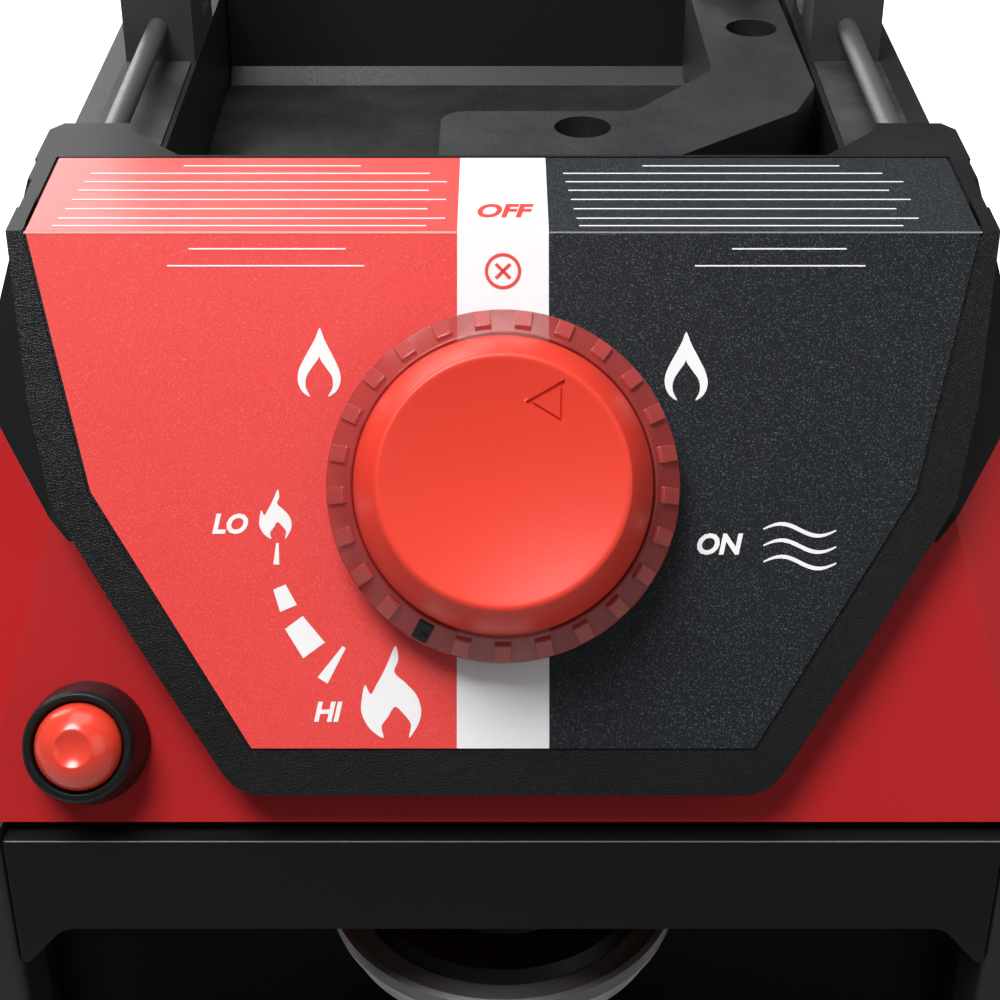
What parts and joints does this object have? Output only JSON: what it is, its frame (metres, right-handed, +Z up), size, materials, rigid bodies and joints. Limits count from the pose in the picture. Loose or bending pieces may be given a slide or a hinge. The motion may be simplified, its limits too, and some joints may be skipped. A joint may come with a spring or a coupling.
{
  "type": "portable propane heater",
  "caption": "Portable radiant propane heater with a push-and-turn knob, an igniter button, a cylinder bay below and a swinging carrying handle.",
  "frame": {"origin": "centre of the bounding box's bottom face, on the floor under the base", "axes": "+Z up, controls towards -Y, radiant burner towards +Y, +X across the body with the gas arm's outlet at +X"},
  "size_m": [0.2402, 0.284, 0.5202],
  "materials": {
    "black_plastic": "satin",
    "red_plastic": "satin",
    "knob_red": "gloss",
    "smoky_red": "gloss",
    "label": "satin",
    "dark_steel": "satin",
    "arm_paint": "satin",
    "burner_paint": "matte",
    "bright_steel": "satin",
    "rod_steel": "satin",
    "cast_grey": "satin",
    "brass": "satin",
    "copper": "satin",
    "rubber": "matte",
    "ceramic": "matte",
    "switch_plastic": "matte"
  },
  "bodies": {
    "frame": {"base_tray": "black_plastic", "rubber_feet": "rubber", "side_panel_left": "black_plastic", "side_panel_right": "black_plastic", "front_apron": "black_plastic", "bulkhead": "dark_steel", "cylinder_clip": "bright_steel", "regulator_bracket": "dark_steel", "regulator_body": "cast_grey", "regulator_cover": "bright_steel", "regulator_inlet": "brass", "inlet_seal": "rubber", "supply_tube": "copper", "lower_housing": "red_plastic", "upper_housing": "black_plastic", "housing_screws": "dark_steel", "side_caps": "red_plastic", "control_label": "label", "valve_body": "brass", "valve_nut": "dark_steel", "knob_spring": "bright_steel", "igniter_collar": "black_plastic", "igniter_body": "black_plastic", "igniter_spring": "bright_steel", "igniter_lead": "rubber", "side_rail_left": "black_plastic", "side_rail_right": "black_plastic", "heat_shield": "dark_steel", "post_left": "black_plastic", "post_right": "black_plastic", "guard_rods": "rod_steel", "arm_lower": "arm_paint", "arm_upper": "arm_paint", "arm_screws": "bright_steel", "feed_tube": "copper", "outlet_socket": "brass", "face_frame": "black_plastic", "reflector": "bright_steel", "burner_plenum": "burner_paint", "ceramic_plaques": "ceramic", "plaque_frame": "burner_paint", "mixing_tube": "bright_steel", "main_orifice": "brass", "burner_tube": "copper", "pilot_burner": "bright_steel", "pilot_tube": "copper", "thermocouple": "copper", "electrode": "ceramic", "wire_guard": "bright_steel", "handle_pins": "bright_steel", "tip_switch": "switch_plastic"},
    "valve_plug": {"valve_rotor": "brass"},
    "knob": {"valve_stem": "bright_steel", "knob_cap": "knob_red", "knob_skirt": "smoky_red"},
    "igniter_button": {"igniter_button": "knob_red"},
    "handle": {"handle_bail": "dark_steel", "handle_grip": "rubber"},
    "outlet_sleeve": {"outlet_sleeve": "bright_steel"}
  },
  "joints": [
    {"name": "knob_turn", "type": "hinge", "parent": "frame", "child": "valve_plug", "pos_m": [0, -0.09645, 0.34004], "axis": [0, -0.829, 0.5592], "range_deg": [-74, 180]},
    {"name": "knob_push", "type": "slide", "parent": "valve_plug", "child": "knob", "axis": [0, 0.829, -0.5592], "range_m": [0, 0.004], "stiffness_N_per_m": 600, "springref_m": -0.004, "deforming": ["knob_spring"]},
    {"name": "igniter_push", "type": "slide", "parent": "frame", "child": "igniter_button", "axis": [0, 0.829, -0.5592], "range_m": [0, 0.005], "stiffness_N_per_m": 900, "springref_m": -0.004, "deforming": ["igniter_spring"]},
    {"name": "handle_swing", "type": "hinge", "parent": "frame", "child": "handle", "pos_m": [0, 0.079, 0.412], "axis": [1, 0, 0], "range_deg": [0, 105]},
    {"name": "sleeve_pull", "type": "slide", "parent": "frame", "child": "outlet_sleeve", "axis": [0, 0, -1], "range_m": [0, 0.003], "stiffness_N_per_m": 500, "springref_m": -0.003}
  ]
}
